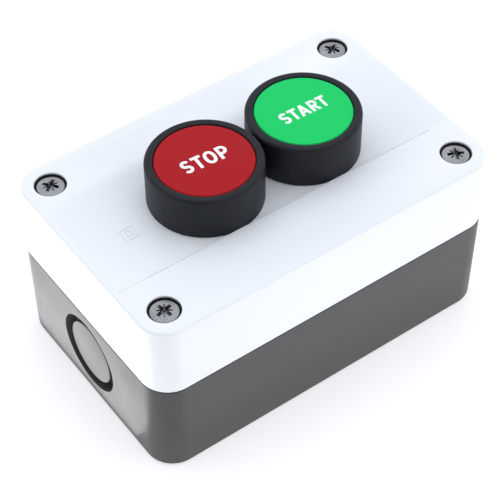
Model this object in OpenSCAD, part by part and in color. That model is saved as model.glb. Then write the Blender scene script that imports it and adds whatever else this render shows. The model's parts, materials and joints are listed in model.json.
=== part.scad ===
// Two-button control station: a grey base box and a white cover, with a flush STOP head and a flush
// START head in the cover, and two contact blocks that stand on a rail in the base.
// +Z points out of the back face, X runs along the length (STOP at -X), the origin is the centre of
// the back face.

/* [Box] */
// Outside length of the box
box_l = 106; // [105:0.5:116]
// Outside width of the box
box_w = 68; // [67:0.5:76]
// Height of the closed box, without the heads
box_h = 51.2; // [50.8:0.2:53]
// Height of the base, from the back face to the parting line
base_h = 30; // [29:0.5:31]
// Radius of the upright corners
corner_r = 8; // [7.8:0.1:8.5]
// Thickness of the walls, the floor and the top
wall = 2.5; // [2.4:0.1:2.7]
// How far each side of the base leans in by the time it reaches the back face
base_taper = 0.25; // [0.1:0.05:0.6]
// How far each side of the cover leans in by the time it reaches the top
cover_taper = 0.35; // [0.1:0.05:0.5]
// Rounding of the cover's top edge
top_fillet = 1.4; // [1:0.1:1.6]

/* [Cover] */
// Half width of the shallow band that runs along the cover
band_half_w = 15; // [14.8:0.1:16]
// Depth of that band
band_depth = 0.6; // [0.2:0.1:0.7]
// Spacing of the cover screws along X
screw_dx = 90; // [89:0.5:90]
// Spacing of the cover screws along Y
screw_dy = 51.5; // [51:0.5:52]
// Radius of the counterbore round each cover screw
counterbore_r = 4.2; // [4.1:0.05:4.4]

/* [Heads] */
// Distance between the two heads
head_pitch = 30.5; // [30.4:0.1:31.5]
// Outside radius of a bezel
bezel_r = 15; // [14.8:0.05:15.1]
// Height of a bezel above the top of the cover
bezel_h = 11.7; // [11.5:0.1:12.5]
// Radius of the coloured cap
cap_r = 12.65; // [12.4:0.05:12.7]
// Travel of a button
travel = 4; // [3:0.1:4]

/* [Mounting and cable entry] */
// Spacing of the wall fixing holes along X
fix_dx = 68; // [66:1:68]
// Spacing of the wall fixing holes along Y
fix_dy = 48; // [44:1:48]
// Radius of a wall fixing hole
fix_r = 2.15; // [1.8:0.05:2.2]
// Radius of the cable knock-out in each end wall
knockout_r = 11.3; // [10.2:0.1:11.4]

/* [Hidden] */
$fn = 64;

// Centres of the two heads
stop_x = -head_pitch / 2;
start_x = head_pitch / 2;

// Parting line and seal
part_gap = 0.3;
seal_in = 0.7;
seal_out = 1.9;
seal_groove = 1.1;

// Back face: its rounded edge
foot_round = 0.8;

// Cable knock-outs: a disc set back from the end face, in a groove with a thin web behind it
knockout_x = box_l / 2 - base_taper / 2;
knockout_z = 15.3;
knockout_recess = 0.8;
knockout_groove = 3.2;
knockout_groove_w = 2.2;
knockout_pad_t = 4;
knockout_pad_rim = 1;

// The band of the cover: its deeper stretch, its shallower one, and the double-insulation mark
band_half_l = screw_dx / 2 - 2.5;
band_end = 2;
mark_x = -38.1;
mark_outer = 4;
mark_inner = 1.9;
mark_line = 0.3;

// Screw bosses, inserts and cover screws
boss_r = 5.6;
insert_r = 2.8;
insert_bore_r = 2.0;
insert_z0 = base_h - 8;
insert_z1 = base_h - 0.5;
insert_well_r = insert_bore_r + 0.2;
insert_well = 5;
shank_r = 1.95;
screw_seat = box_h - 3;
screw_seal_t = 0.8;
screw_seal_lip = 2.1;
screw_seal_r = counterbore_r - 0.05;
screw_under_head = screw_seat + screw_seal_t;
screw_head_r = 3.8;
screw_head_t = 1.9;
screw_head_round = 1.2;
screw_l = 25;
recess_arm = 2;
recess_half_w = 0.4;
recess_floor = 0.5;

// Small screws inside: their heads and recesses
small_head_t = 1.8;
small_recess_arm = 1.7;
small_recess_half_w = 0.35;
small_recess_floor = 0.6;

// Heads: heights from the panel up
panel_z = box_h - band_depth;
panel_under = box_h - wall;
neck_r = 11;
neck_hole_r = neck_r + 0.15;
neck_l = 13.4;
neck_z0 = panel_z - neck_l;
bezel_z0 = panel_z + 0.1;
bezel_z1 = box_h + bezel_h;
bezel_round = 1.4;
cavity_r = cap_r + 0.15;
cavity_z0 = bezel_z0 + 2.1;
well_r = 9.2;
well_z0 = neck_z0 + 6.5;
stem_r = 5.05;
stem_bore_r = 5.1;
gasket_in = neck_r + 0.4;
gasket_out = bezel_r - 1;
gasket_t = 1;
nut_r = 14;
nut_t = 4;
nut_notches = 8;
nut_notch_deep = 1.2;
nut_notch_half_w = 1.4;
lip_seal_r = 8;
lip_seal_t = 2;

// Cap and pusher
cap_z1 = bezel_z1 - 0.1;
cap_skirt = 5.4;
cap_top_t = 3;
cap_bore_r = cap_r - 2;
cap_z0 = cap_z1 - cap_skirt;
disc_r = cap_bore_r - 0.1;
disc_z1 = cap_z1 - cap_top_t;
disc_z0 = cap_z0 + 0.2;
cap_round = 0.5;
face_gap = 0.1;

// Return springs
return_coil_r = 7.2;
return_wire_r = 0.45;
return_turns = 7;

// Rail in the base
pad_h = 4.5;
pad_r = 4.5;
rail_l = 61;
rail_half_w = 8;
rail_t = 1.5;
rail_screw_x = 26;
rail_screw_r = 1.45;
rail_screw_head_r = 2.9;
rail_screw_l = 6;
rail_hole_r = 1.8;
rail_pilot_r = 1.5;
rail_pilot_z0 = 1.2;
rail_z0 = wall + pad_h;
rail_z1 = rail_z0 + rail_t;

// Contact blocks: heights above the rail
block_half_x = 7;
block_half_y = 18;
tower_half_y = 8;
lid_t = 1.5;
hook_half_x = 4;
hook_t = 1.5;
hook_grip = 0.7;
hook_gap = 0.1;
hook_drop = 0.9;
block_z0 = rail_z1;
shoulder_z = block_z0 + 15;
tower_z = block_z0 + 22.7;
chamber_z0 = block_z0 + 2;
chamber_z1 = tower_z - 2.2;
chamber_half_y = 6.5;
pocket_y = 9.5;
pocket_half_x = 4.5;
pocket_end_wall = 1.5;
screw_slot_half_x = 2.2;
screw_slot_deep = 6;
strip_t = 1;
strip_half_x = 3.5;
strip_in = 4;
strip_out = 17;
terminal_z = block_z0 + 10.5;
nc_strip_z = terminal_z;
no_strip_z = terminal_z - 3;
terminal_y = 13.2;
terminal_r = 1.6;
terminal_head_r = 2.8;
terminal_screw_tail = 4;
clamp_gap = 0.6;
clamp_t = 0.8;
clamp_half_x = 3.2;
clamp_in = 2.6;
clamp_out = 3.2;
slot_gap = 0.05;
plunger_r = 3;
plunger_bore_r = 3.08;
plunger_z1 = tower_z + travel + 0.3;
collar_r = 4.2;
collar_t = 1.5;
collar_z1 = chamber_z1 - 0.1;
pin_r = 1.5;
guide_r = 1;
guide_l = 2;
bridge_t = 0.8;
tip_t = 0.5;
tip_r = 1.2;
tip_y = 5.2;
bridge_half_y = 6.3;
bridge_half_x = 2.5;
// The START bridge closes after this much travel, and slides up its plunger over the rest of it
close_travel = 0.6 * travel;
nc_bridge_z = nc_strip_z - face_gap - tip_t - bridge_t;
no_bridge_z = no_strip_z + strip_t + close_travel + tip_t + face_gap;
shoulder_r = 2.2;
shoulder_t = 1.4;

// Springs in the contact blocks
nc_coil_r = 2;
nc_wire_r = 0.3;
nc_turns = 4;
no_coil_r = 2.1;
no_wire_r = 0.25;
no_turns = 4;
plunger_coil_r = 2;
plunger_turns = 5;

// ---- helpers ----

// Points of a circular arc, for an outline
function arc_points(cx, cy, r, a0, a1, steps = 6) =
    [for (i = [0:steps]) let (a = a0 + (a1 - a0) * i / steps) [cx + r * cos(a), cy + r * sin(a)]];

// A block with rounded upright corners: side is the outline of its side wall, measured outwards
// from the corners' axes, and it is carried round the four corners and along the four sides.
module rounded_block(l, w, r, side) {
    heights = [for (p = side) p[1]];
    half_l = l / 2 - r;
    half_w = w / 2 - r;
    translate([-half_l, -half_w, min(heights)])
        cube([2 * half_l, 2 * half_w, max(heights) - min(heights)]);
    for (turn = [0, 180]) {
        rotate([0, 0, turn]) {
            translate([half_l, half_w, 0])
                rotate_extrude(angle = 90) polygon(side);
            translate([-half_l, half_w, 0])
                rotate([0, 0, 90])
                    rotate_extrude(angle = 90) polygon(side);
            translate([half_l, half_w, 0])
                rotate([90, 0, 0])
                    linear_extrude(height = 2 * half_w) polygon(side);
            translate([-half_l, half_w, 0])
                rotate([90, 0, 90])
                    linear_extrude(height = 2 * half_l) polygon(side);
        }
    }
}

// A band between two rounded rectangles, inset from the outside of the box by in_a and in_b
module rim_band(in_a, in_b, z0, z1) {
    difference() {
        rounded_block(box_l, box_w, corner_r,
            [[0, z0], [corner_r - in_a, z0], [corner_r - in_a, z1], [0, z1]]);
        rounded_block(box_l, box_w, corner_r,
            [[0, z0 - 1], [corner_r - in_b, z0 - 1], [corner_r - in_b, z1 + 1], [0, z1 + 1]]);
    }
}

module at_rectangle(dx, dy) {
    for (x = [-dx / 2, dx / 2], y = [-dy / 2, dy / 2]) {
        translate([x, y, 0]) children();
    }
}

module ring(r_out, r_in, z0, z1) {
    translate([0, 0, z0])
        difference() {
            cylinder(r = r_out, h = z1 - z0);
            translate([0, 0, -1]) cylinder(r = r_in, h = z1 - z0 + 2);
        }
}

module post(r, z0, z1) {
    translate([0, 0, z0]) cylinder(r = r, h = z1 - z0);
}

module bar(x0, x1, y0, y1, z0, z1) {
    translate([x0, y0, z0]) cube([x1 - x0, y1 - y0, z1 - z0]);
}

// A coil spring: a round wire swept along a helix between two heights
module coil_spring(coil_r, wire_r, turns, z0, z1, steps = 14, sides = 8) {
    rings = turns * steps;
    climb = z1 - z0 - 2 * wire_r;
    points = [
        for (i = [0:rings], j = [0:sides - 1])
            let (
                turn = 360 * i / steps,
                around = 360 * j / sides,
                r = coil_r + wire_r * cos(around)
            )
            [r * cos(turn), r * sin(turn), z0 + wire_r + climb * i / rings + wire_r * sin(around)]
    ];
    wall_faces = [
        for (i = [0:rings - 1], j = [0:sides - 1])
            let (k = (j + 1) % sides)
            [i * sides + j, i * sides + k, (i + 1) * sides + k, (i + 1) * sides + j]
    ];
    start_face = [for (j = [sides - 1:-1:0]) j];
    end_face = [for (j = [0:sides - 1]) rings * sides + j];
    polyhedron(points, concat(wall_faces, [start_face, end_face]), convexity = 10);
}

// ---- box ----

// The base's side wall leans out from the back face up to the parting line
base_side = concat(
    [[0, 0]],
    arc_points(corner_r - base_taper - foot_round, foot_round, foot_round, -90, 0, 4),
    [[corner_r, base_h - part_gap], [0, base_h - part_gap]]
);
base_hollow = [
    [0, wall], [corner_r - wall - base_taper, wall], [corner_r - wall, base_h + 1], [0, base_h + 1]
];

// One end wall's knock-out: a recessed disc in a deep groove, backed by a pad inside
module knockout_cut() {
    disc_r = knockout_r - knockout_groove_w;
    translate([knockout_x - knockout_recess, 0, knockout_z])
        rotate([0, 90, 0]) cylinder(r = knockout_r, h = knockout_recess + 1);
    translate([knockout_x - knockout_groove, 0, knockout_z])
        rotate([0, 90, 0]) ring(knockout_r, disc_r, 0, knockout_groove);
}

module knockout_pad() {
    translate([knockout_x - knockout_pad_t, 0, knockout_z])
        rotate([0, 90, 0]) cylinder(r = knockout_r + knockout_pad_rim, h = knockout_pad_t - 1);
}

module base_box() {
    color("dimgray")
    difference() {
        union() {
            difference() {
                rounded_block(box_l, box_w, corner_r, base_side);
                rounded_block(box_l, box_w, corner_r, base_hollow);
            }
            at_rectangle(screw_dx, screw_dy) post(boss_r, 1, base_h);
            for (x = [-rail_screw_x, rail_screw_x]) {
                translate([x, 0, 0]) post(pad_r, 1, rail_z0);
            }
            for (turn = [0, 180]) {
                rotate([0, 0, turn]) knockout_pad();
            }
        }
        rim_band(seal_in, seal_out, base_h - part_gap - seal_groove, base_h + 1);
        at_rectangle(screw_dx, screw_dy) {
            post(insert_r, insert_z0, base_h + 1);
            post(insert_well_r, insert_z0 - insert_well, insert_z0 + 1);
        }
        for (x = [-rail_screw_x, rail_screw_x]) {
            translate([x, 0, 0]) post(rail_pilot_r, rail_pilot_z0, rail_z0 + 1);
        }
        at_rectangle(fix_dx, fix_dy) post(fix_r, -1, wall + 1);
        for (turn = [0, 180]) {
            rotate([0, 0, turn]) knockout_cut();
        }
    }
}

cover_side = concat(
    [[0, base_h], [corner_r, base_h]],
    arc_points(corner_r - cover_taper - top_fillet, box_h - top_fillet, top_fillet, 0, 90),
    [[0, box_h]]
);
cover_hollow = [
    [0, base_h - 1], [corner_r - wall, base_h - 1],
    [corner_r - wall - cover_taper, box_h - wall], [0, box_h - wall]
];

// The generic mark of double insulation: a square line inside a square line
module insulation_mark() {
    for (side = [mark_outer, mark_inner]) {
        difference() {
            bar(-side / 2, side / 2, -side / 2, side / 2, 0, 1);
            bar(-side / 2 + mark_line, side / 2 - mark_line, -side / 2 + mark_line,
                side / 2 - mark_line, -1, 2);
        }
    }
}

module cover() {
    color("ghostwhite")
    difference() {
        union() {
            difference() {
                rounded_block(box_l, box_w, corner_r, cover_side);
                rounded_block(box_l, box_w, corner_r, cover_hollow);
            }
            at_rectangle(screw_dx, screw_dy) post(boss_r, base_h, box_h - 1);
        }
        bar(-band_half_l, band_half_l, -band_half_w, band_half_w, panel_z, box_h + 1);
        bar(-box_l / 2 + band_end, box_l / 2 - band_end, -band_half_w, band_half_w,
            box_h - band_depth / 2, box_h + 1);
        translate([mark_x, 0, panel_z - mark_line / 2]) insulation_mark();
        for (x = [stop_x, start_x]) {
            translate([x, 0, 0]) post(neck_hole_r, panel_under - 1, box_h + 1);
        }
        at_rectangle(screw_dx, screw_dy) {
            post(shank_r + 0.3, base_h - 1, box_h);
            post(counterbore_r, screw_seat, box_h + 1);
        }
    }
}

module cover_gasket() {
    color("black")
    rim_band(seal_in, seal_out, base_h - part_gap - seal_groove, base_h);
}

// ---- cover fasteners ----

// A cup of rubber: a washer under the head, with a lip that fills the ring round it
module screw_seals() {
    color("black")
    at_rectangle(screw_dx, screw_dy) {
        ring(screw_seal_r, shank_r + 0.1, screw_seat, screw_under_head);
        ring(screw_seal_r, screw_head_r + 0.05, screw_seat, screw_seat + screw_seal_lip);
    }
}

module screw_inserts() {
    color("goldenrod")
    at_rectangle(screw_dx, screw_dy) ring(insert_r, insert_bore_r, insert_z0, insert_z1);
}

// The cross that is cut into a screw's head
module cross_recess(arm, half_w, z0, z1) {
    for (turn = [0, 90]) {
        rotate([0, 0, turn]) bar(-arm, arm, -half_w, half_w, z0, z1);
    }
}

// A pan head with a cross recess, on a plain shank of the thread's outside radius
module cover_screws() {
    head_z1 = screw_under_head + screw_head_t;
    color("silver")
    at_rectangle(screw_dx, screw_dy) {
        difference() {
            union() {
                post(shank_r, screw_under_head - screw_l, screw_under_head + recess_floor);
                rotate_extrude()
                    polygon(concat(
                        [[0, screw_under_head], [screw_head_r, screw_under_head]],
                        arc_points(screw_head_r - screw_head_round, head_z1 - screw_head_round,
                            screw_head_round, 0, 90, 5),
                        [[0, head_z1]]
                    ));
            }
            cross_recess(recess_arm, recess_half_w, screw_under_head + recess_floor, head_z1 + 1);
        }
    }
}

// ---- heads in the cover ----

// The bezel, the threaded neck, the spring well and the stem's guide, turned in one piece
module head_body(x) {
    color("#22262b")
    translate([x, 0, 0])
        difference() {
            union() {
                rotate_extrude()
                    polygon(concat(
                        [[0, bezel_z0], [bezel_r, bezel_z0]],
                        arc_points(bezel_r - bezel_round, bezel_z1 - bezel_round, bezel_round, 0, 90),
                        [[0, bezel_z1]]
                    ));
                post(neck_r, neck_z0, bezel_z0 + 1);
            }
            post(cavity_r, cavity_z0, bezel_z1 + 1);
            post(well_r, well_z0, bezel_z1);
            post(stem_bore_r, neck_z0 - 1, bezel_z1);
            post(lip_seal_r, neck_z0 - 1, neck_z0 + lip_seal_t);
            ring(gasket_out + 0.1, neck_r, bezel_z0 - 1, panel_z + gasket_t);
        }
}

module panel_gasket(x) {
    color("black")
    translate([x, 0, 0]) ring(gasket_out, gasket_in, panel_z, panel_z + gasket_t);
}

module ring_nut(x) {
    color("gray")
    translate([x, 0, 0])
        difference() {
            ring(nut_r, neck_r + 0.05, panel_under - nut_t, panel_under);
            for (i = [0:nut_notches - 1]) {
                rotate([0, 0, (i + 0.5) * 360 / nut_notches])
                    bar(nut_r - nut_notch_deep, nut_r + 1, -nut_notch_half_w, nut_notch_half_w,
                        panel_under - nut_t - 1, panel_under + 1);
            }
        }
}

module lip_seal(x) {
    color("black")
    translate([x, 0, 0]) ring(lip_seal_r, stem_r + 0.03, neck_z0, neck_z0 + lip_seal_t);
}

module cap(x, paint) {
    color(paint)
    translate([x, 0, 0])
        difference() {
            rotate_extrude()
                polygon(concat(
                    [[0, cap_z0], [cap_r, cap_z0]],
                    arc_points(cap_r - cap_round, cap_z1 - cap_round, cap_round, 0, 90, 4),
                    [[0, cap_z1]]
                ));
            post(cap_bore_r, cap_z0 - 1, disc_z1);
        }
}

// A stem that slides in the head, with the disc that carries the cap
module pusher(x) {
    color("black")
    translate([x, 0, 0]) {
        post(stem_r, plunger_z1 + face_gap, disc_z0 + 0.5);
        post(disc_r, disc_z0, disc_z1);
    }
}

module return_spring(x) {
    color("silver")
    translate([x, 0, 0])
        coil_spring(return_coil_r, return_wire_r, return_turns, well_z0, disc_z0);
}

// ---- rail ----

module mounting_rail() {
    color("lightsteelblue")
    difference() {
        bar(-rail_l / 2, rail_l / 2, -rail_half_w, rail_half_w, rail_z0, rail_z1);
        for (x = [-rail_screw_x, rail_screw_x]) {
            translate([x, 0, 0]) post(rail_hole_r, rail_z0 - 1, rail_z1 + 1);
        }
    }
}

// A small screw with a flat head and a cross recess
module small_screw(r, head_r, z0, under_head) {
    head_z1 = under_head + small_head_t;
    difference() {
        union() {
            post(r, z0, under_head + small_recess_floor);
            post(head_r, under_head, head_z1);
        }
        cross_recess(small_recess_arm, small_recess_half_w, under_head + small_recess_floor,
            head_z1 + 1);
    }
}

module rail_screws() {
    color("silver")
    for (x = [-rail_screw_x, rail_screw_x]) {
        translate([x, 0, 0])
            small_screw(rail_screw_r, rail_screw_head_r, rail_z1 - rail_screw_l, rail_z1);
    }
}

// ---- contact blocks ----

// The housing is a tray open on its +X side: a contact chamber, a terminal pocket at each end,
// slots for the fixed contacts, a bore for the plunger, and hooks that grip the rail's edges.
module block_housing(x, strip_z) {
    lid_x = block_half_x - lid_t;
    hook_out = rail_half_w + hook_gap + hook_t;
    slot_half_x = strip_half_x + slot_gap;
    color("gainsboro")
    translate([x, 0, 0])
        difference() {
            union() {
                bar(-block_half_x, lid_x, -block_half_y, block_half_y, block_z0, shoulder_z);
                bar(-block_half_x, lid_x, -tower_half_y, tower_half_y, block_z0, tower_z);
                for (turn = [0, 180]) {
                    rotate([0, 0, turn]) {
                        bar(-hook_half_x, hook_half_x, rail_half_w + hook_gap, hook_out,
                            rail_z0 - hook_drop, block_z0 + 0.5);
                        bar(-hook_half_x, hook_half_x, rail_half_w - hook_grip, hook_out,
                            rail_z0 - hook_drop, rail_z0 - hook_gap);
                    }
                }
            }
            bar(-block_half_x + lid_t, block_half_x, -chamber_half_y, chamber_half_y,
                chamber_z0, chamber_z1);
            for (turn = [0, 180]) {
                rotate([0, 0, turn]) {
                    bar(-pocket_half_x, pocket_half_x, pocket_y, block_half_y + 1,
                        terminal_z, shoulder_z + 1);
                    bar(-screw_slot_half_x, screw_slot_half_x, pocket_y,
                        block_half_y - pocket_end_wall, terminal_z - screw_slot_deep, terminal_z + 1);
                    bar(-slot_half_x, slot_half_x, pocket_y - face_gap,
                        pocket_y + strip_t + slot_gap, strip_z - slot_gap, terminal_z + 1);
                }
            }
            bar(-slot_half_x, block_half_x, -pocket_y - face_gap, pocket_y + face_gap,
                strip_z - slot_gap, strip_z + strip_t + slot_gap);
            post(plunger_bore_r, chamber_z1 - 1, tower_z + 1);
        }
}

module block_lid(x) {
    color("whitesmoke")
    translate([x, 0, 0]) {
        lid_x = block_half_x - lid_t;
        bar(lid_x, block_half_x, -block_half_y, block_half_y, block_z0, shoulder_z);
        bar(lid_x, block_half_x, -tower_half_y, tower_half_y, block_z0, tower_z);
    }
}

// The STOP plunger pushes its bridge down off the fixed contacts
module stop_block_plunger() {
    color("firebrick")
    translate([stop_x, 0, 0]) {
        post(plunger_r, collar_z1 - 0.5, plunger_z1);
        post(collar_r, collar_z1 - collar_t, collar_z1);
        post(pin_r, nc_bridge_z + bridge_t, collar_z1);
        post(guide_r, nc_bridge_z - guide_l, collar_z1);
    }
}

// The START plunger carries its bridge on a shoulder, under a spring
module start_block_plunger() {
    color("seagreen")
    translate([start_x, 0, 0]) {
        post(plunger_r, collar_z1 - 0.5, plunger_z1);
        post(collar_r, collar_z1 - collar_t, collar_z1);
        post(pin_r, chamber_z0 + travel + 0.6, collar_z1);
        post(shoulder_r, no_bridge_z - face_gap - shoulder_t, no_bridge_z - face_gap);
    }
}

// A bridge is a flat bar with a hole on the plunger's pin and a contact tip at each end
module bridge(x, z, hole_r, tip_side) {
    color("peru")
    translate([x, 0, 0]) {
        difference() {
            bar(-bridge_half_x, bridge_half_x, -bridge_half_y, bridge_half_y, z, z + bridge_t);
            post(hole_r, z - 1, z + 2);
        }
        for (y = [-tip_y, tip_y]) {
            translate([0, y, 0])
                post(tip_r, tip_side > 0 ? z + bridge_t : z - tip_t,
                    tip_side > 0 ? z + bridge_t + tip_t : z);
        }
    }
}

module stop_contact_spring() {
    color("silver")
    translate([stop_x, 0, 0])
        coil_spring(nc_coil_r, nc_wire_r, nc_turns, chamber_z0, nc_bridge_z, 12, 6);
}

module start_contact_spring() {
    color("silver")
    translate([start_x, 0, 0])
        coil_spring(no_coil_r, no_wire_r, no_turns, no_bridge_z + bridge_t, collar_z1 - collar_t, 12, 6);
}

module start_plunger_spring() {
    color("silver")
    translate([start_x, 0, 0])
        coil_spring(plunger_coil_r, no_wire_r, plunger_turns, chamber_z0,
            no_bridge_z - face_gap - shoulder_t, 12, 6);
}

// A fixed contact runs in from its terminal; the START ones step down below their bridge
module fixed_contacts(x, strip_z) {
    color("darkgoldenrod")
    translate([x, 0, 0])
        for (turn = [0, 180]) {
            rotate([0, 0, turn])
                difference() {
                    union() {
                        bar(-strip_half_x, strip_half_x, strip_in, pocket_y + strip_t,
                            strip_z, strip_z + strip_t);
                        bar(-strip_half_x, strip_half_x, pocket_y, pocket_y + strip_t,
                            strip_z, terminal_z + strip_t);
                        bar(-strip_half_x, strip_half_x, pocket_y, strip_out,
                            terminal_z, terminal_z + strip_t);
                    }
                    translate([0, terminal_y, 0])
                        post(terminal_r + 0.05, terminal_z - 1, terminal_z + strip_t + 1);
                }
        }
}

module at_terminals() {
    for (x = [stop_x, start_x], y = [-terminal_y, terminal_y]) {
        translate([x, y, 0]) children();
    }
}

module clamp_plates() {
    z = terminal_z + strip_t + clamp_gap;
    color("silver")
    at_terminals() {
        difference() {
            bar(-clamp_half_x, clamp_half_x, -clamp_in, clamp_out, z, z + clamp_t);
            post(terminal_r + 0.05, z - 1, z + clamp_t + 1);
        }
    }
}

module terminal_screws() {
    color("lightgray")
    at_terminals()
        small_screw(terminal_r, terminal_head_r, terminal_z - terminal_screw_tail,
            terminal_z + strip_t + clamp_gap + clamp_t);
}

base_box();
cover();
cover_gasket();
cover_screws();
screw_seals();
screw_inserts();
head_body(stop_x);  // stop_head_body
head_body(start_x);  // start_head_body
panel_gasket(stop_x);  // stop_panel_gasket
panel_gasket(start_x);  // start_panel_gasket
ring_nut(stop_x);  // stop_ring_nut
ring_nut(start_x);  // start_ring_nut
lip_seal(stop_x);  // stop_lip_seal
lip_seal(start_x);  // start_lip_seal
cap(stop_x, "crimson");  // stop_cap
cap(start_x, "mediumseagreen");  // start_cap
pusher(stop_x);  // stop_pusher
pusher(start_x);  // start_pusher
return_spring(stop_x);  // stop_return_spring
return_spring(start_x);  // start_return_spring
mounting_rail();
rail_screws();
block_housing(stop_x, nc_strip_z);  // stop_block_housing
block_housing(start_x, no_strip_z);  // start_block_housing
block_lid(stop_x);  // stop_block_lid
block_lid(start_x);  // start_block_lid
stop_block_plunger();
start_block_plunger();
bridge(stop_x, nc_bridge_z, guide_r + 0.1, 1);  // stop_contact_bridge
bridge(start_x, no_bridge_z, pin_r + 0.1, -1);  // start_contact_bridge
stop_contact_spring();
start_contact_spring();
start_plunger_spring();
fixed_contacts(stop_x, nc_strip_z);  // stop_fixed_contacts
fixed_contacts(start_x, no_strip_z);  // start_fixed_contacts
terminal_screws();
clamp_plates();
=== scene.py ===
# %% [markdown]
# # A two-button control station
# The real object is a small plastic box that is screwed to a wall or a machine: a dark grey base, a
# white cover with four screws, and two flush push buttons in black bezels, STOP and START.
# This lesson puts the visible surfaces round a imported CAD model. The CAD model fixes every size, so
# the first step loads it and notes the box that it fills.

# %% Load the frame
import json
from math import pi, radians, sin, cos

import bpy
import numpy as np
from mathutils import Matrix, Vector


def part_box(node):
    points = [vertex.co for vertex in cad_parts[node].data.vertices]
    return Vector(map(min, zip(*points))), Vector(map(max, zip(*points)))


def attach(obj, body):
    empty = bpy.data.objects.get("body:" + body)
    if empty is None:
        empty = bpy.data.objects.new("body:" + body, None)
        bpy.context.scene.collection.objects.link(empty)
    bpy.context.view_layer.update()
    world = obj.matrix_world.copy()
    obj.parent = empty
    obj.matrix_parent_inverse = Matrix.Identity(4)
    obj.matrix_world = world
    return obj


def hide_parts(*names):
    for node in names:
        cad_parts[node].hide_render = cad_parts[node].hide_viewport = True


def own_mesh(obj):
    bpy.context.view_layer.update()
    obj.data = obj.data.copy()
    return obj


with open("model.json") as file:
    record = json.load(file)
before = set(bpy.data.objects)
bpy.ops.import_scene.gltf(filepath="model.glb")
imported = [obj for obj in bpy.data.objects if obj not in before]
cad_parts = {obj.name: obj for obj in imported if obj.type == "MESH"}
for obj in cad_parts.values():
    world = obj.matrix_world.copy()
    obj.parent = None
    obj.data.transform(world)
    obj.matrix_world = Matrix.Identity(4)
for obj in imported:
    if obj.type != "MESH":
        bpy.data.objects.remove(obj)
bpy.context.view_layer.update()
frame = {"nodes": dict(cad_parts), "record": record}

MM = 0.001               # the scene is in metres, and small sizes read better in millimetres

# %% [markdown]
# ## Sizes that come from the frame
# Only the fine shape of the moulding, such as its corner radius and its fillets, is stated here,
# because a box can't tell it.

# %% Sizes of the box, the heads and the screws
base_low, base_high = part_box("base_box")
cover_low, cover_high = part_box("cover")
HALF_L, HALF_W = cover_high.x, cover_high.y
PARTING = cover_low.z
COVER_TOP = cover_high.z
CORNER_R = 8 * MM
WALL = 2.5 * MM
BASE_TAPER = 0.25 * MM
COVER_TAPER = 0.35 * MM
RIM_GAP = 0.3 * MM
CORE_L, CORE_W = HALF_L - CORNER_R, HALF_W - CORNER_R

button_x = {}
for button in ("stop", "start"):
    low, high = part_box(f"{button}_head_body")
    button_x[button] = (low.x + high.x) / 2
# The two heads are alike, so the loop's last box gives the sizes that they share.
BEZEL_R = (high.x - low.x) / 2
BEZEL_TOP = high.z
NECK_BOTTOM = low.z
screw_low, screw_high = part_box("cover_screws")
HEAD_R = 3.8 * MM
SCREW_X, SCREW_Y = screw_high.x - HEAD_R, screw_high.y - HEAD_R
SCREW_PLACES = [(x, y) for x in (-SCREW_X, SCREW_X) for y in (-SCREW_Y, SCREW_Y)]
BAND_DEPTH = 0.6 * MM
PANEL = COVER_TOP - BAND_DEPTH
print(f"box {2 * HALF_L / MM:.1f} x {2 * HALF_W / MM:.1f} x {COVER_TOP / MM:.1f} mm, heads at x =",
      {name: round(x / MM, 2) for name, x in button_x.items()})

# %% [markdown]
# ## From an array of points to a mesh
# Nearly every piece here is a stack of closed rings. Ring `i`, point `j` is one point of the array,
# so the faces follow from the numbering alone, and one array expression gives them all. The two
# open ends get one flat face each, unless the outline itself closes into a loop.

# %% Rings to a closed mesh
def add_mesh(name, points, faces):
    """A new object from an array of points and a list of faces, each a tuple of point numbers."""
    mesh = bpy.data.meshes.new(name)
    mesh.from_pydata(np.asarray(points, float).reshape(-1, 3).tolist(), [], faces)
    mesh.update()
    piece = bpy.data.objects.new(name, mesh)
    bpy.context.scene.collection.objects.link(piece)
    return piece


def loft(name, rings, closed=False):
    """Joins rings[i, j] by quads: (i, j), (i, j+1), (i+1, j+1), (i+1, j), with j running round.

    Seen from above the rings run anticlockwise, so a stack that climbs faces outwards. With
    closed=True the last ring joins the first; otherwise both ends get a flat face.
    """
    rows, columns = rings.shape[:2]
    numbers = np.arange(rows * columns).reshape(rows, columns)
    here = numbers if closed else numbers[:-1]
    above = np.roll(numbers, -1, axis=0) if closed else numbers[1:]
    quads = np.stack([here, np.roll(here, -1, 1), np.roll(above, -1, 1), above], axis=-1)
    faces = [tuple(face) for face in quads.reshape(-1, 4).tolist()]
    if not closed:
        faces.append(tuple(numbers[0, ::-1].tolist()))
        faces.append(tuple(numbers[-1].tolist()))
    return add_mesh(name, rings, faces)


def arc(centre, radius, start, end, steps=6):
    """Points of a circular arc: centre + radius * (cos a, sin a), a from start to end degrees."""
    a = np.radians(np.linspace(start, end, steps + 1))
    return np.stack([centre[0] + radius * np.cos(a), centre[1] + radius * np.sin(a)], axis=1)


def outline(*stretches):
    """One outline from points and arcs, in the order given."""
    return np.concatenate([np.atleast_2d(np.asarray(s, float)) for s in stretches])


# %% [markdown]
# ## Two ways to carry an outline
# A box shell is an outline of its wall carried round a rounded rectangle. The outline's first number
# is the distance out from the axes of the corners, so the same outline serves the four corners and
# the four sides. A turned part is an outline of its radius and height carried round a circle.

# %% Carry an outline round a rounded rectangle, or round an axis
def box_shell(name, wall, corner_steps=14):
    """point = corner axis + out * (cos a, sin a), height = up, for each (out, up) of the wall."""
    quarter = np.linspace(0, pi / 2, corner_steps + 1)
    angle = np.concatenate([quarter + turn * pi / 2 for turn in range(4)])
    corner_x = np.repeat([CORE_L, -CORE_L, -CORE_L, CORE_L], corner_steps + 1)
    corner_y = np.repeat([CORE_W, CORE_W, -CORE_W, -CORE_W], corner_steps + 1)
    out, up = wall[:, :1], wall[:, 1:]
    rings = np.stack([corner_x + out * np.cos(angle), corner_y + out * np.sin(angle),
                      up + 0 * angle], axis=-1)
    return loft(name, rings)


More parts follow.
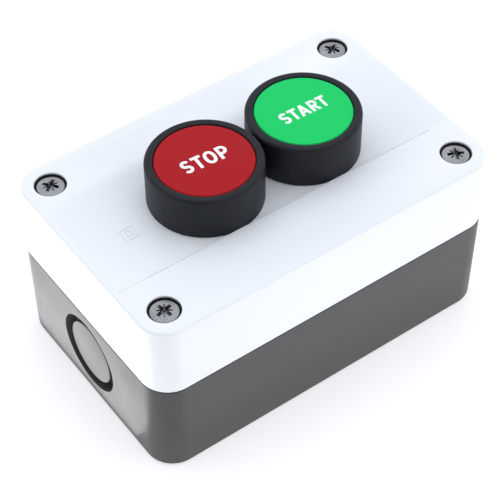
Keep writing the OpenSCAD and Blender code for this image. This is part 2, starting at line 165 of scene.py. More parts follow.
def turned(name, section, centre=(0, 0), along="z", closed=False, steps=96):
    """point = centre + (r cos a, r sin a, h) for each (r, h) of the section.

    along="x" turns the same shape about the X axis instead, and centre is then (y, z).
    """
    angle = np.linspace(0, 2 * pi, steps, endpoint=False)
    r, h = section[:, :1], section[:, 1:]
    across, beside, height = r * np.cos(angle), r * np.sin(angle), h + 0 * angle
    if along == "z":
        rings = np.stack([centre[0] + across, centre[1] + beside, height], axis=-1)
    else:
        rings = np.stack([height, centre[0] + across, centre[1] + beside], axis=-1)
    return loft(name, rings, closed)


def block(name, low, high):
    """A closed block between two opposite corners."""
    corners = np.array([[1, 1], [-1, 1], [-1, -1], [1, -1]])
    middle = (np.array(low[:2]) + np.array(high[:2])) / 2
    half = (np.array(high[:2]) - np.array(low[:2])) / 2
    rings = [np.column_stack([middle + corners * half, np.full(4, z)]) for z in (low[2], high[2])]
    return loft(name, np.array(rings))


# %% [markdown]
# ## Cutting, smoothing and measuring
# Holes that don't follow the outline, such as a counterbore, are cut with a second closed surface.
# The Boolean result is kept as plain mesh, so nothing is left for a later step to work out. Every
# finished piece is smooth across shallow edges and sharp across the rest, and its open edges are
# counted, because a solid has none.

# %% Cut, smooth and measure
slot_of = {}             # the slot of each piece made here, by the piece's name


def carve(piece, tool, operation="DIFFERENCE"):
    """Takes the tool's volume out of the piece (or adds it with UNION), and removes the tool."""
    modifier = piece.modifiers.new("carve", "BOOLEAN")
    modifier.operation, modifier.solver, modifier.object = operation, "EXACT", tool
    graph = bpy.context.evaluated_depsgraph_get()
    result = bpy.data.meshes.new_from_object(piece.evaluated_get(graph))
    piece.modifiers.clear()
    piece.data = result
    bpy.data.objects.remove(tool)
    return piece


def open_edges(mesh):
    """The number of edges that don't have exactly two faces."""
    edge_of_corner = np.empty(len(mesh.loops), dtype=np.int32)
    mesh.loops.foreach_get("edge_index", edge_of_corner)
    return int(np.count_nonzero(np.bincount(edge_of_corner, minlength=len(mesh.edges)) != 2))


def settle(piece, body, slot, *nodes, sharp=32):
    """Smooths a finished piece, gives it its body and its slot, and prints its size."""
    piece.data.shade_smooth()
    piece.data.set_sharp_from_angle(angle=radians(sharp))
    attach(piece, body)
    slot_of[piece.name] = slot
    if nodes:
        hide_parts(*nodes)
    print(f"{piece.name}: {len(piece.data.polygons)} faces, {open_edges(piece.data)} open edges")
    return piece


# %% [markdown]
# ## The cover
# The cover is an injection-moulded tray, turned over. Its wall leans in a little, so that it leaves
# the mould, and a fillet rounds the top edge. The outline starts under the top, runs down the inside,
# crosses the rim and climbs the outside, so one loft gives a wall with its real thickness.

# %% The cover's shell
def cover_shell():
    fillet = 0.75 * MM
    rim = 0.15 * MM
    top_out = CORNER_R - COVER_TAPER
    wall = outline(
        (CORNER_R - WALL - COVER_TAPER - 2 * MM, COVER_TOP - WALL),
        arc((CORNER_R - WALL - COVER_TAPER - 0.8 * MM, COVER_TOP - WALL - 0.8 * MM), 0.8 * MM, 90, 0, 4),
        (CORNER_R - WALL, PARTING),
        arc((CORNER_R - rim, PARTING + rim), rim, -90, 0, 3),
        arc((top_out - fillet, COVER_TOP - fillet), fillet, 0, 90, 10),
        (top_out - fillet - 0.1 * MM, COVER_TOP),
        (top_out - fillet - 0.8 * MM, COVER_TOP),
    )
    return box_shell("cover_moulding", wall, corner_steps=18)


cover = cover_shell()
print("cover shell:", len(cover.data.vertices), "points")

# %% [markdown]
# ## What is cut into the cover
# Four counterbores take the screws, and each has a small flare where the mould's edge was eased.
# A shallow band carries the two heads: it is deepest between the screws and half as deep out to
# the ends. A fine groove along its front edge is the line that two parts of the mould leave. The
# square inside a square is the generic sign for double insulation.

# %% Counterbores, holes for the heads, the band and the insulation sign
COUNTERBORE_R = 4.2 * MM
SCREW_SEAT = COVER_TOP - 3 * MM
BOSS_R = 5.6 * MM
HEAD_HOLE_R = 11.15 * MM


def counterbore(place):
    """A stepped, flared cutter: the shank's hole below, the head's room above."""
    flare = 0.22 * MM
    section = outline(
        (2.25 * MM, PARTING - 1 * MM), (2.25 * MM, SCREW_SEAT), (COUNTERBORE_R, SCREW_SEAT),
        arc((COUNTERBORE_R + flare, COVER_TOP - flare), flare, 180, 90, 5),
        (COUNTERBORE_R + flare, COVER_TOP + 1 * MM),
    )
    return turned("counterbore", section, place)


for place in SCREW_PLACES:
    boss = turned("boss", np.array([[BOSS_R, PARTING], [BOSS_R, COVER_TOP - 1 * MM]]), place, steps=48)
    carve(cover, boss, "UNION")
for place in SCREW_PLACES:
    carve(cover, counterbore(place))

BAND_HALF_W = 15 * MM
BAND_HALF_L = SCREW_X - 2.5 * MM
BAND_END = 2 * MM
for half_length, depth in ((HALF_L - BAND_END, BAND_DEPTH / 2), (BAND_HALF_L, BAND_DEPTH)):
    ramp = 4 * depth
    rings = [[(half_length + run, BAND_HALF_W + run, z), (-half_length, BAND_HALF_W + run, z),
              (-half_length, -BAND_HALF_W, z), (half_length + run, -BAND_HALF_W, z)]
             for run, z in ((0, COVER_TOP - depth), (ramp, COVER_TOP), (ramp, COVER_TOP + 1 * MM))]
    carve(cover, loft("band", np.array(rings)))
for start_x, end_x, size in ((-HALF_L + BAND_END, -BAND_HALF_L, 0.1 * MM),
                             (-BAND_HALF_L, SCREW_X, 0.2 * MM)):
    edge_y = -BAND_HALF_W - 0.12 * MM
    carve(cover, block("witness_line", (start_x, edge_y - size, COVER_TOP - size),
                       (end_x, edge_y, COVER_TOP + 1 * MM)))
for x in button_x.values():
    hole = np.array([[HEAD_HOLE_R, COVER_TOP - 5 * MM], [HEAD_HOLE_R, COVER_TOP + 1 * MM]])
    carve(cover, turned("hole", hole, (x, 0)))

SIGN_X, SIGN_LINE, SIGN_DEPTH = -38.1 * MM, 0.3 * MM, 0.14 * MM
for side in (4.0 * MM, 1.9 * MM):
    inner = side / 2 - SIGN_LINE
    for turn in range(4):
        arm = np.array([[side / 2, -side / 2], [side / 2, side / 2],
                        [inner, inner], [inner, -inner]])
        turned_arm = arm @ np.array([[cos(turn * pi / 2), sin(turn * pi / 2)],
                                     [-sin(turn * pi / 2), cos(turn * pi / 2)]])
        rings = [np.column_stack([turned_arm + (SIGN_X, 0), np.full(4, PANEL + z)])
                 for z in (-SIGN_DEPTH, 0.5 * MM)]
        carve(cover, loft("sign", np.array(rings)))
settle(cover, "enclosure", "cover_plastic", "cover")

# %% [markdown]
# ## The base
# The base is the tray that lies on the wall. Its outline starts at the back face, climbs the
# outside, dips into the groove that holds the gasket, and runs down the inside to the floor.

# %% The base's shell, with its bosses and pillars
def base_shell():
    foot = 0.8 * MM
    foot_out = CORNER_R - BASE_TAPER - foot
    rim = PARTING - RIM_GAP
    groove = (0.7 * MM, 1.9 * MM, rim - 1.1 * MM)
    ease = 0.12 * MM
    wall = outline(
        (foot_out - 1 * MM, 0),
        arc((foot_out, foot), foot, -90, 0, 6),
        arc((CORNER_R - ease, rim - ease), ease, 0, 90, 3),
        (CORNER_R - groove[0], rim), (CORNER_R - groove[0], groove[2]),
        (CORNER_R - groove[1], groove[2]), (CORNER_R - groove[1], rim),
        (CORNER_R - WALL, rim), (CORNER_R - WALL - BASE_TAPER, WALL),
        (CORNER_R - WALL - BASE_TAPER - 1 * MM, WALL),
    )
    return box_shell("base_moulding", wall, corner_steps=18)


base = base_shell()
for place in SCREW_PLACES:
    post = np.array([[BOSS_R - 0.15 * MM, 1 * MM], [BOSS_R - 0.15 * MM, PARTING]])
    carve(base, turned("post", post, place, steps=48), "UNION")
    insert_hole = outline((2.2 * MM, 17 * MM), (2.2 * MM, PARTING - 8 * MM),
                          (2.8 * MM, PARTING - 8 * MM), (2.8 * MM, PARTING + 1 * MM))
    carve(base, turned("insert_hole", insert_hole, place, steps=48))
rail_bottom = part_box("mounting_rail")[0].z
PILLAR_X = 26 * MM
for x in (-PILLAR_X, PILLAR_X):
    pillar = np.array([[4.5 * MM, 1 * MM], [4.5 * MM, rail_bottom]])
    carve(base, turned("pillar", pillar, (x, 0), steps=48), "UNION")
    carve(base, turned("pilot", np.array([[1.5 * MM, 1.2 * MM], [1.5 * MM, 9 * MM]]), (x, 0), steps=32))
print("base:", len(base.data.polygons), "faces before the wall fixings and knock-outs")

# %% [markdown]
# ## Knock-outs and wall fixings
# Each end wall has a place for a cable gland: a disc in a deep narrow groove, so that the thin web
# behind it breaks out cleanly. The disc's face lies back from the wall. Both are surfaces turned
# about the length of the box. The four fixing holes go through the floor.

# %% Cut the knock-outs and the fixing holes
KNOCKOUT_R = 11.3 * MM
KNOCKOUT_Z = 15.3 * MM
END_FACE = HALF_L - BASE_TAPER / 2
DISC_R = KNOCKOUT_R - 2.4 * MM
DISC_RECESS, GROOVE_DEPTH = 0.5 * MM, 3.2 * MM


def knockout_cutter(end):
    """The room in front of the disc and the groove round it, as one outline turned about X."""
    ease = 0.2 * MM
    disc_face, groove_floor = END_FACE - DISC_RECESS, END_FACE - GROOVE_DEPTH
    section = outline(
        (0.5 * MM, disc_face),
        arc((DISC_R - ease, disc_face - ease), ease, 90, 0, 3),
        (DISC_R, groove_floor), (KNOCKOUT_R, groove_floor),
        (KNOCKOUT_R, END_FACE - 0.25 * MM), (KNOCKOUT_R + 0.12 * MM, HALF_L + 1 * MM),
    )
    cutter = turned("knockout", section, (0, KNOCKOUT_Z), along="x")
    if end < 0:
        cutter.data.transform(Matrix.Rotation(pi, 4, "Z"))
    return cutter


for end in (-1, 1):
    pad = turned("pad", np.array([[KNOCKOUT_R + 1 * MM, END_FACE - 4 * MM],
                                  [KNOCKOUT_R + 1 * MM, END_FACE - 1 * MM]]),
                 (0, KNOCKOUT_Z), along="x")
    if end < 0:
        pad.data.transform(Matrix.Rotation(pi, 4, "Z"))
    carve(base, pad, "UNION")
    carve(base, knockout_cutter(end))
FIX_X, FIX_Y, FIX_R = 34 * MM, 24 * MM, 2.15 * MM
for x in (-FIX_X, FIX_X):
    for y in (-FIX_Y, FIX_Y):
        hole = outline((FIX_R + 0.3 * MM, -1 * MM), (FIX_R + 0.3 * MM, 0), (FIX_R, 0.3 * MM),
                       (FIX_R, WALL + 1 * MM))
        carve(base, turned("fixing", hole, (x, y), steps=48))
settle(base, "enclosure", "base_plastic", "base_box")

# %% [markdown]
# ## The heads
# A head is turned in one piece: a bezel with a softly rounded rim, a wide bore in which the cap
# moves, a well for the spring, and a threaded neck that passes through the cover. The outline
# closes into a loop, because a bore runs through the whole part. The thread is a zigzag of ridges.

# %% Bezel and neck
CAP_R = (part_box("stop_cap")[1].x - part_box("stop_cap")[0].x) / 2


def head(name, x):
    """The section of the head, anticlockwise: up the outside, over the rim, down the bores."""
    neck_r, well_r, bore_r, seal_r = 11 * MM, 9.2 * MM, 5.1 * MM, 8 * MM
    foot = PANEL + 0.1 * MM
    cavity_r, cavity_floor = CAP_R + 0.15 * MM, foot + 2.1 * MM
    gasket_r, gasket_top = BEZEL_R - 0.9 * MM, PANEL + 1 * MM
    well_floor = NECK_BOTTOM + 6.5 * MM
    ridges = np.arange(23)
    thread = np.stack([neck_r - 0.45 * MM * (ridges % 2), NECK_BOTTOM + (1 + 0.5 * ridges) * MM], axis=1)
    rim_out, rim_in = 0.8 * MM, 0.25 * MM
    section = outline(
        (seal_r, NECK_BOTTOM), (neck_r - 0.4 * MM, NECK_BOTTOM), thread,
        (neck_r, gasket_top), (gasket_r, gasket_top), (gasket_r, foot),
        arc((BEZEL_R - 0.25 * MM, foot + 0.25 * MM), 0.25 * MM, -90, 0, 3),
        arc((BEZEL_R - rim_out, BEZEL_TOP - rim_out), rim_out, 0, 90, 10),
        arc((cavity_r + rim_in, BEZEL_TOP - rim_in), rim_in, 90, 180, 4),
        (cavity_r, cavity_floor), (well_r, cavity_floor), (well_r, well_floor),
        (bore_r, well_floor), (bore_r, NECK_BOTTOM + 2 * MM), (seal_r, NECK_BOTTOM + 2 * MM),
    )
    return turned(name, section, (x, 0), closed=True, steps=144)


for button, x in button_x.items():
    settle(head(f"{button}_bezel", x), "enclosure", "black_plastic", f"{button}_head_body", sharp=28)

# %% [markdown]
# ## The caps
# A cap is a shallow cup, open downwards, that is snapped over the disc of its pusher. Its face is
# flat, with a small round at the edge that catches a thin line of light.

# %% Coloured caps
def cap(name, x, button):
    """Up the skirt, over the eased edge and in to the middle; then down inside the cup."""
    low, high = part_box(f"{button}_cap")
    edge = 0.4 * MM
    bore_r, ceiling = CAP_R - 2 * MM, high.z - 3 * MM
    section = outline(
        (0.4 * MM, ceiling), (bore_r, ceiling), (bore_r, low.z), (CAP_R, low.z),
        arc((CAP_R - edge, high.z - edge), edge, 0, 90, 6),
        (CAP_R - edge - 0.1 * MM, high.z), (0.5 * MM, high.z),
    )
    return turned(name, section, (x, 0), steps=144)


slots = {"stop": "stop_red", "start": "start_green"}
for button, x in button_x.items():
    settle(cap(f"{button}_cap_face", x, button), f"{button}_button", slots[button], f"{button}_cap")

# %% [markdown]
# ## The legends
# STOP and START are the plain function words that the caps of any such station carry. Each letter
# is drawn with strokes of one width: a line or an arc, with a thin rectangle carried along it. The
# letters are drawn one unit high and scaled to their height on the cap.

# %% Strokes of a letter
STROKE = 0.19            # width of a stroke, as a share of the letter's height
INK = 0.03 * MM          # how far the printed letter stands above the cap


def stroke(name, path, across=None, width=STROKE, closed=False):
    """A bar of the stroke's width along a path: each station is path point +- across * width / 2.

    `across` is square to the path unless it is given; a slanted stroke uses (1, 0), so that its
    ends lie level with the other letters.
    """
    path = np.asarray(path, float)
    if across is None:
        if closed:
            along = np.roll(path, -1, 0) - np.roll(path, 1, 0)
        else:
            along = np.gradient(path, axis=0)
        along /= np.linalg.norm(along, axis=1, keepdims=True)
        across = np.stack([along[:, 1], -along[:, 0]], axis=1)
    right, left = path + np.asarray(across) * width / 2, path - np.asarray(across) * width / 2
    rings = np.stack([np.insert(right, 2, -1, 1), np.insert(right, 2, 1, 1),
                      np.insert(left, 2, 1, 1), np.insert(left, 2, -1, 1)], axis=1)
    return loft(name, rings, closed)


def letter_s(x):
    """Two half ovals that meet in the middle and turn opposite ways."""
    wide, high = 0.2, (1 - STROKE) / 4
    upper = arc((0, 0), 1, 28, 270, 18) * (wide, high) + (0.305, 0.5 + high)
    lower = arc((0, 0), 1, 90, -152, 18) * (wide, high) + (0.305, 0.5 - high)
    return [stroke("S", outline(upper, lower[1:]) + (x, 0))]


def letter_t(x):
    """A level bar on an upright stem."""
    bar = stroke("T_bar", [(x, 1 - STROKE / 2), (x + 0.6, 1 - STROKE / 2)])
    return [bar, stroke("T_stem", [(x + 0.3, 0), (x + 0.3, 1 - STROKE / 2)])]


def letter_o(x):
    """A ring, squared a little by raising each coordinate to a power below one."""
    ring = arc((0, 0), 1, 0, 360, 40)[:-1]
    square = np.sign(ring) * np.abs(ring) ** 0.88
    return [stroke("O", square * (0.35 - STROKE / 2, 0.5 - STROKE / 2) + (x + 0.35, 0.5), closed=True)]


def letter_p(x, foot=0.42):
    """A stem and a bowl; the bowl is a half circle between two level lines."""
    middle, radius = (1 - STROKE / 2 + foot) / 2, (1 - STROKE / 2 - foot) / 2
    bowl = outline((x + STROKE / 2, 1 - STROKE / 2), (x + 0.28, 1 - STROKE / 2),
                   arc((x + 0.28, middle), radius, 90, -90, 14)[1:-1],
                   (x + 0.28, foot), (x + STROKE / 2, foot))
    return [stroke("P_stem", [(x + STROKE / 2, 0), (x + STROKE / 2, 1)]), stroke("P_bowl", bowl)]


def letter_a(x):
    """Two slanted legs that meet at the top, and a thinner level bar."""
    slant = STROKE * 1.06
    legs = [stroke("A_leg", [(x + start, 0), (x + 0.36, 1)], (1, 0), slant)
            for start in (slant / 2, 0.72 - slant / 2)]
    return [*legs, stroke("A_bar", [(x + 0.2, 0.3), (x + 0.52, 0.3)], width=STROKE * 0.85)]


def letter_r(x):
    """A P with a slanted leg."""
    leg = stroke("R_leg", [(x + 0.3, 0.42), (x + 0.52, 0)], (1, 0), STROKE * 1.12)
    return [*letter_p(x, 0.45), leg]


# %% [markdown]
# ## Setting the words
# The strokes of a word are joined into one solid, scaled, turned a few degrees as a cap turns when
# it is pressed in by hand, and laid on the cap's face.

# %% Print the words on the caps
def word(name, letters, height, centre, turn, face):
    """(x, y) = centre + turn * (stroke point - middle of the word) * height; z = face + ink."""
    strokes = [bar for letter, x in letters for bar in letter(x)]
    piece = strokes[0]
    for bar in strokes[1:]:
        carve(piece, bar, "UNION")
    piece.name = name
    points = np.empty(3 * len(piece.data.vertices))
    piece.data.vertices.foreach_get("co", points)
    points = points.reshape(-1, 3)
    middle = (points.min(0) + points.max(0)) / 2
    flat = (points - middle)[:, :2] * height
    c, s = cos(radians(turn)), sin(radians(turn))
    points[:, 0] = centre[0] + c * flat[:, 0] - s * flat[:, 1]
    points[:, 1] = centre[1] + s * flat[:, 0] + c * flat[:, 1]
    points[:, 2] = face + np.where(points[:, 2] > 0, INK, -2 * INK)
    piece.data.vertices.foreach_set("co", points.ravel())
    piece.data.update()
    return piece


cap_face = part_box("stop_cap")[1].z
stop_letters = [(letter_s, 0.0), (letter_t, 0.72), (letter_o, 1.42), (letter_p, 2.26)]
start_letters = [(letter_s, 0.0), (letter_t, 0.68), (letter_a, 1.3), (letter_r, 2.14), (letter_t, 2.82)]
legends = {
    "stop": word("stop_legend", stop_letters, 4.5 * MM, (-15.1 * MM, 0), -4, cap_face),
    "start": word("start_legend", start_letters, 4.1 * MM, (15.4 * MM, 0.1 * MM), -1.5, cap_face),
}
for button, legend in legends.items():
    settle(legend, f"{button}_button", "legend_white", sharp=60)

# %% [markdown]
# ## The cover screws
# Each is a plated pan-head screw with a cross recess. The head is turned, and the recess is cut by
# a cross that narrows as it goes down. Four fine grooves between the arms belong to the same kind of
# recess. The shank carries a zigzag thread.

# %% Screws with a cross recess
UNDER_HEAD = SCREW_SEAT + 0.8 * MM
HEAD_TOP = screw_high.z


def cross_ring(arm, half_width, z, turn):
    """The twelve corners of a cross, anticlockwise, turned by `turn` degrees."""
    quarter = np.array([[arm, -half_width], [arm, half_width], [half_width, half_width]])
    a = [radians(turn + 90 * k) for k in range(4)]
    corners = np.concatenate([quarter @ np.array([[cos(t), sin(t)], [-sin(t), cos(t)]]) for t in a])
    return np.column_stack([corners, np.full(12, z)])


def screw(place, turn):
    """Shank and thread, then the head: flat below, a rounded edge, a low dome on top."""
    shank_r, dome = 1.95 * MM, 0.35 * MM
    length = UNDER_HEAD - screw_low.z
    ridges = np.arange(2 * int(0.8 * length / (0.7 * MM)))
    thread = np.stack([shank_r - 0.35 * MM * ((ridges + 1) % 2),
                       screw_low.z + 0.6 * MM + ridges * 0.35 * MM], axis=1)
    edge_r = HEAD_R - 0.45 * MM
    t = np.linspace(0, 1, 9)
    crown = np.stack([edge_r * (1 - t) + 0.3 * MM * t, HEAD_TOP - dome * (1 - t) ** 2], axis=1)
    section = outline(
        (shank_r - 0.8 * MM, screw_low.z), thread, (shank_r - 0.1 * MM, UNDER_HEAD),
        (HEAD_R - 0.1 * MM, UNDER_HEAD), (HEAD_R, UNDER_HEAD + 0.15 * MM),
        arc((edge_r, HEAD_TOP - dome - 0.45 * MM), 0.45 * MM, 0, 75, 5), crown)
    piece = turned("screw", section, place, steps=64)
    recess = np.array([cross_ring(1.3 * MM, 0.36 * MM, HEAD_TOP - 1.5 * MM, turn),
                       cross_ring(2.35 * MM, 0.52 * MM, HEAD_TOP + 0.1 * MM, turn)])
    recess[..., :2] += place
    carve(piece, loft("recess", recess))
    ticks = np.array([cross_ring(1.0 * MM, 0.06 * MM, HEAD_TOP - 0.9 * MM, turn + 45),
                      cross_ring(2.3 * MM, 0.24 * MM, HEAD_TOP + 0.1 * MM, turn + 45)])
    ticks[..., :2] += place
    return carve(piece, loft("ticks", ticks))


def seal(place):
    """A rubber cup: a washer under the head, and a lip raised nearly to the top, whose dark rubber fills
    the ring round the head as painted shade.
    """
    out, mid, lip = COUNTERBORE_R - 0.05 * MM, HEAD_R + 0.05 * MM, 0.1 * MM
    # The lip rises above the seal of the CAD node, so that its dark rubber stands as painted shade in
    # the gap round the head.
    top = SCREW_SEAT + 2.6 * MM
    section = outline((2.05 * MM, SCREW_SEAT), (out, SCREW_SEAT), (out, top - lip), (out - lip, top),
                      (mid, top), (mid, UNDER_HEAD), (2.05 * MM, UNDER_HEAD))
    return turned("seal", section, place, closed=True)


seals = [seal(place) for place in SCREW_PLACES]
for piece in seals[1:]:
    carve(seals[0], piece, "UNION")
seals[0].name = "screw_seal_set"
settle(seals[0], "enclosure", "rubber", "screw_seals")

screws = [screw(place, turn) for place, turn in zip(SCREW_PLACES, (12, 38, 63, 27))]
for piece in screws[1:]:
    carve(screws[0], piece, "UNION")
screws[0].name = "cover_screw_set"
settle(screws[0], "enclosure", "nickel", "cover_screws", sharp=25)

# %% [markdown]
# ## The springs
# A coil spring is a round wire carried along a helix. The turns at both ends lie close, as on a
# ground spring, so the climb follows a smooth step and not a straight line.

# %% Coil springs, each on its body
def coil(name, x, node, wire_r, turns, steps=24, sides=10):
    """centre line = (R cos a, R sin a, climb(a)); the wire is a circle square to it."""
    low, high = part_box(node)
    ring_r = (high.y - low.y) / 2 - wire_r
    a = np.linspace(0, 2 * pi * turns, turns * steps + 1)
    share = a / a[-1]
    climb = share - 0.10 * np.sin(2 * pi * share)
    b = np.linspace(0, 2 * pi, sides, endpoint=False)
    out = ring_r + wire_r * np.cos(b)
    up = wire_r * np.sin(b) + (low.z + wire_r + climb * (high.z - low.z - 2 * wire_r))[:, None]
    rings = np.stack([x + out * np.cos(a)[:, None], out * np.sin(a)[:, None], up], axis=-1)
    return loft(name, rings[:, ::-1])


# node, body, joint, wire radius and turns, the end that stays put, and how much shorter it gets in mm
spring_jobs = [
    ("stop_return_spring", "enclosure", "stop_push", 0.45, 7, "low", 4.0),
    ("start_return_spring", "enclosure", "start_push", 0.45, 7, "low", 4.0),
    ("stop_contact_spring", "enclosure", "stop_contact_slide", 0.3, 4, "low", 4.0),
    ("start_plunger_spring", "enclosure", "start_contact_slide", 0.25, 5, "low", 4.0),
    ("start_contact_spring", "start_contact", "start_bridge_slide", 0.25, 4, "high", 1.6),
]
for node, body, joint, wire, turns, held, shorter in spring_jobs:
    low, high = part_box(node)
    spring = coil(f"{node}_wire", button_x[node.split("_")[0]], node, wire * MM, turns)
    settle(spring, body, "spring_steel", node, sharp=80)
    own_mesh(spring)

# %% [markdown]
# ## Shader maths as Python
# A finish is a small recipe of noise, colour and roughness. Wrapping a socket in a class with the
# usual operators lets the recipe be written as a formula, and each operator adds one Math node.

# %% A socket that can be calculated with, and a finish that holds nodes
class Wire:
    """A shader value; + - * / between wires and numbers each add a Math node."""

    def __init__(self, finish, socket):
        self.finish, self.socket = finish, socket

    def maths(self, operation, first, second):
        return self.finish.node("ShaderNodeMath", {"operation": operation}, {0: first, 1: second})

    def __add__(self, other):
        return self.maths("ADD", self, other)

    def __radd__(self, other):
        return self.maths("ADD", other, self)

    def __sub__(self, other):
        return self.maths("SUBTRACT", self, other)

    def __rsub__(self, other):
        return self.maths("SUBTRACT", other, self)

    def __mul__(self, other):
        return self.maths("MULTIPLY", self, other)

    def __rmul__(self, other):
        return self.maths("MULTIPLY", other, self)


class Finish:
    """One material, made of a Principled shader and whatever nodes feed it."""

    def __init__(self, slot):
        self.material = bpy.data.materials.new(slot)
        self.material.use_nodes = True
        self.tree = self.material.node_tree
        self.shader = self.tree.nodes["Principled BSDF"]

    def node(self, kind, settings, sockets, out=0):
        """Adds a node: its settings first, then a value or a wire for each named socket."""
        node = self.tree.nodes.new(kind)
        for key, value in settings.items():
            setattr(node, key, value)
        for key, value in sockets.items():
            self.feed(node.inputs[key], value)
        return Wire(self, node.outputs[out])

    def feed(self, socket, value):
        if isinstance(value, Wire):
            self.tree.links.new(value.socket, socket)
        else:
            socket.default_value = value

    def place(self):
        return self.node("ShaderNodeTexCoord", {}, {}, "Object")

    def stretched(self, scale):
        """Object coordinates, scaled along each axis, so that a pattern can run in streaks."""
        return self.node("ShaderNodeMapping", {}, {"Vector": self.place(), "Scale": scale})

    def noise(self, size, detail=3.0, vector=None):
        """Noise from 0 to 1 whose lumps are about `size` metres across."""
        return self.node("ShaderNodeTexNoise", {}, {
            "Vector": vector or self.place(), "Scale": 1 / size, "Detail": detail})

    def blend(self, share, first, second):
        """A colour between two others; each is (red, green, blue) or a wire."""
        first, second = (c if isinstance(c, Wire) else (*c, 1) for c in (first, second))
        return self.node("ShaderNodeMix", {"data_type": "RGBA"}, {0: share, 6: first, 7: second}, 2)

    def clamp(self, value, low=0.0, high=1.0):
        return self.node("ShaderNodeClamp", {}, {"Value": value, "Min": low, "Max": high})

    def bump(self, height, distance, strength=1.0):
        return self.node("ShaderNodeBump", {}, {
            "Height": height, "Distance": distance, "Strength": strength})

    def set(self, **values):
        """Puts values or wires on the shader's own sockets: base_color sets Base Color."""
        for key, value in values.items():
            self.feed(self.shader.inputs[key.replace("_", " ").title().replace("Ior", "IOR")], value)
        return self.material


# %% [markdown]
# ## Moulded plastic
# A moulding takes the fine spark-eroded grain of its tool. Under that, its colour drifts a little
# where the melt flowed, and its gloss drifts with it. The three scales are three noises: grain of
# a fifth of a millimetre for the bump, a few millimetres for the gloss, and centimetres for colour.

# %% Plastics
def moulded(slot, colour, roughness, grain=0.2, depth=0.004, drift=0.06, specular=0.5):
    """colour * (1 +- drift), roughness +- a little, and a bump of the tool's grain."""
    finish = Finish(slot)
    fine = finish.noise(grain * MM, 4)
    cloud = finish.noise(5 * MM, 3)
    flow = finish.noise(28 * MM, 2)
    share = finish.clamp(0.6 * flow + 0.3 * cloud + 0.1 * fine)
    dark = tuple(c * (1 - drift) for c in colour)
    light = tuple(min(1, c * (1 + drift)) for c in colour)
    return finish.set(
        base_color=finish.blend(share, dark, light),
        roughness=finish.clamp(roughness + 0.12 * (cloud - 0.5) + 0.06 * (fine - 0.5)),
        specular_ior_level=specular,
        normal=finish.bump(fine, depth * MM, 0.6),
    )


finishes = {
    "cover_plastic": moulded("cover_plastic", (0.84, 0.85, 0.87), 0.42, 0.18, 0.003, 0.015, 0.3),
    "base_plastic": moulded("base_plastic", (0.040, 0.043, 0.042), 0.42, 0.25, 0.006, 0.10, 0.55),
    "black_plastic": moulded("black_plastic", (0.007, 0.009, 0.012), 0.5, 0.22, 0.006, 0.12, 0.22),
    "stop_red": moulded("stop_red", (0.385, 0.003, 0.007), 0.5, 0.16, 0.003, 0.05, 0.14),
    "start_green": moulded("start_green", (0.003, 0.575, 0.12), 0.5, 0.16, 0.003, 0.04, 0.14),
    "legend_white": moulded("legend_white", (0.90, 0.90, 0.89), 0.5, 0.12, 0.002, 0.02),
    "block_plastic": moulded("block_plastic", (0.52, 0.53, 0.52), 0.5, 0.3, 0.008, 0.06),
    "plunger_red": moulded("plunger_red", (0.45, 0.02, 0.02), 0.4, 0.2, 0.004, 0.06),
    "plunger_green": moulded("plunger_green", (0.03, 0.33, 0.10), 0.4, 0.2, 0.004, 0.06),
    "rubber": moulded("rubber", (0.012, 0.012, 0.012), 0.75, 0.35, 0.012, 0.2, 0.3),
}
print("plastics:", ", ".join(finishes))

# %% [markdown]
# ## Metals
# Plated screws are bright, with faint wipe marks. Drawn wire and rolled strip have streaks along
# the way they were drawn, so their noise is stretched along one axis. Zinc plate has soft patches.

# %% Metals
def metal(slot, colour, roughness, streak=(1, 1, 1), grain=0.3, drift=0.12, depth=0.002):
    """colour and roughness follow one streaked noise and one cloudy noise."""
    finish = Finish(slot)
    streaks = finish.noise(grain * MM, 4, finish.stretched(streak))
    patches = finish.noise(3 * MM, 3)
    share = finish.clamp(0.55 * streaks + 0.45 * patches)
    dark = tuple(c * (1 - drift) for c in colour)
    return finish.set(
        base_color=finish.blend(share, dark, colour),
        metallic=1.0,
        roughness=finish.clamp(roughness * (0.7 + 0.6 * streaks), 0.04, 1.0),
        normal=finish.bump(streaks, depth * MM, 0.5),
    )


finishes |= {
    "nickel": metal("nickel", (0.42, 0.42, 0.42), 0.2, (1, 1, 1), 0.5, 0.7, 0.03),
    "brass": metal("brass", (0.78, 0.56, 0.24), 0.30, (1, 0.1, 1)),
    "contact_copper": metal("contact_copper", (0.80, 0.46, 0.30), 0.32, (1, 0.1, 1)),
    "spring_steel": metal("spring_steel", (0.46, 0.46, 0.48), 0.30, (1, 1, 0.2)),
    "zinc_steel": metal("zinc_steel", (0.62, 0.64, 0.68), 0.38, (0.1, 1, 1), 0.5, 0.2),
}
print("finishes:", len(finishes))

# %% [markdown]
# ## Every node gets its finish
# The record says which slot each CAD node takes. The pieces made above name their slot themselves.

# %% Assign the finishes
for part in frame["record"]["subparts"]:
    materials = frame["nodes"][part["node"]].data.materials
    materials.clear()
    materials.append(finishes[part["material_slot"]])
for name, slot in slot_of.items():
    materials = bpy.data.objects[name].data.materials
    materials.clear()
    materials.append(finishes[slot])
print("pieces made here:", len(slot_of))

# %% [markdown]
# ## Studio
# The station lies on its back on a white table in a light tent. The tent is pale all round, a little
# blue overhead, and dark only round the place the viewer looks in from. The table glows on the left
# of the box, so the left end wall carries a bright sheen and the long front wall a faint one. The
# table gives some light of its own everywhere, so that the shadow on it stays faint.

# %% Table, tent and lights
def soft_light(name, place, target, size, watts):
    """An area light at `place` that faces `target`; places are in millimetres."""
    light = bpy.data.lights.new(name, "AREA")
    light.shape, light.size, light.size_y = "RECTANGLE", size[0] * MM, size[1] * MM
    light.energy = watts
    lamp = bpy.data.objects.new(name, light)
    bpy.context.scene.collection.objects.link(lamp)
    lamp.location = Vector(place) * MM
    direction = (Vector(target) - Vector(place)).normalized()
    lamp.rotation_euler = direction.to_track_quat("-Z", "Y").to_euler()
    lamp.visible_camera = False
    return lamp


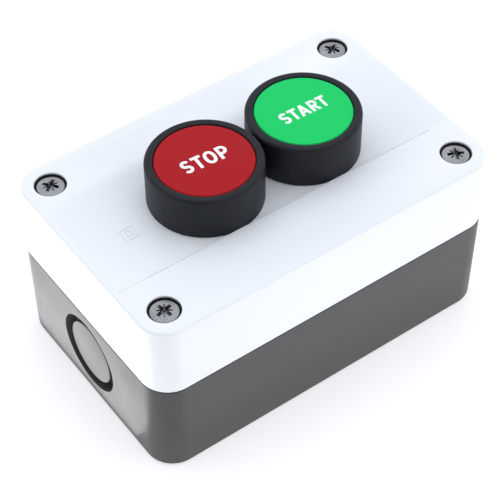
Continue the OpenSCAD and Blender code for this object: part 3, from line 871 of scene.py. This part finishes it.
table_half, table_z = 3.0, -0.0001
table = add_mesh("table", [(table_half * x, table_half * y, table_z)
                           for x, y in ((-1, -1), (1, -1), (1, 1), (-1, 1))], [(0, 1, 2, 3)])
white = Finish("table_white")
white.set(base_color=white.blend(white.noise(60 * MM), (0.62, 0.62, 0.615), (0.64, 0.64, 0.635)),
          roughness=0.9, specular_ior_level=0.1,
          emission_color=(1, 1, 0.99, 1), emission_strength=0.52)
table.data.materials.append(white.material)


class Tent(Finish):
    """The world's own nodes: the same expressions, fed into its background."""

    def __init__(self):
        world = bpy.data.worlds.new("tent")
        bpy.context.scene.world = world
        world.use_nodes = True
        self.tree = world.node_tree
        self.background = self.tree.nodes["Background"]


tent = Tent()
direction = tent.node("ShaderNodeTexCoord", {}, {}, "Generated")
opening = tent.node("ShaderNodeVectorMath", {"operation": "DOT_PRODUCT"},
                    {0: direction, 1: (-0.62, -0.55, 0.56)}, "Value")
dark_share = tent.node("ShaderNodeMapRange", {"interpolation_type": "SMOOTHSTEP"},
                       {"Value": opening, "From Min": 0.70, "From Max": 0.97})
height = tent.node("ShaderNodeSeparateXYZ", {}, {"Vector": direction}, "Z")
walls = tent.blend(tent.clamp(height * 1.4), (1.22, 1.21, 1.18), (1.28, 1.35, 1.48))
tent.feed(tent.background.inputs["Color"], tent.blend(dark_share, walls, (0.10, 0.11, 0.12)))
soft_light("left_glow", (-108.5, 37.5, 1), (-108.5, 37.501, 100), (110, 115), 0.080)
soft_light("front_glow", (50, -100, 1), (50, -99.999, 100), (180, 110), 0.022)
bpy.context.scene.view_settings.view_transform = "Standard"

# %% [markdown]
# ## Camera
# The view is from the front left and above, with a long lens, so the sides stay nearly parallel.

# %% Camera
camera_data = bpy.data.cameras.new("camera")
camera_data.sensor_width = 36
camera_data.lens = 114.9
camera = bpy.data.objects.new("camera", camera_data)
bpy.context.scene.collection.objects.link(camera)
heading, tilt, roll = radians(-35.70), radians(42.95), radians(-0.36)
camera.matrix_world = (Matrix.Translation(Vector((-171.2, -235.9, 333.8)) * MM)
                       @ Matrix.Rotation(heading, 4, "Z") @ Matrix.Rotation(tilt, 4, "X")
                       @ Matrix.Rotation(roll, 4, "Z"))
bpy.context.scene.camera = camera
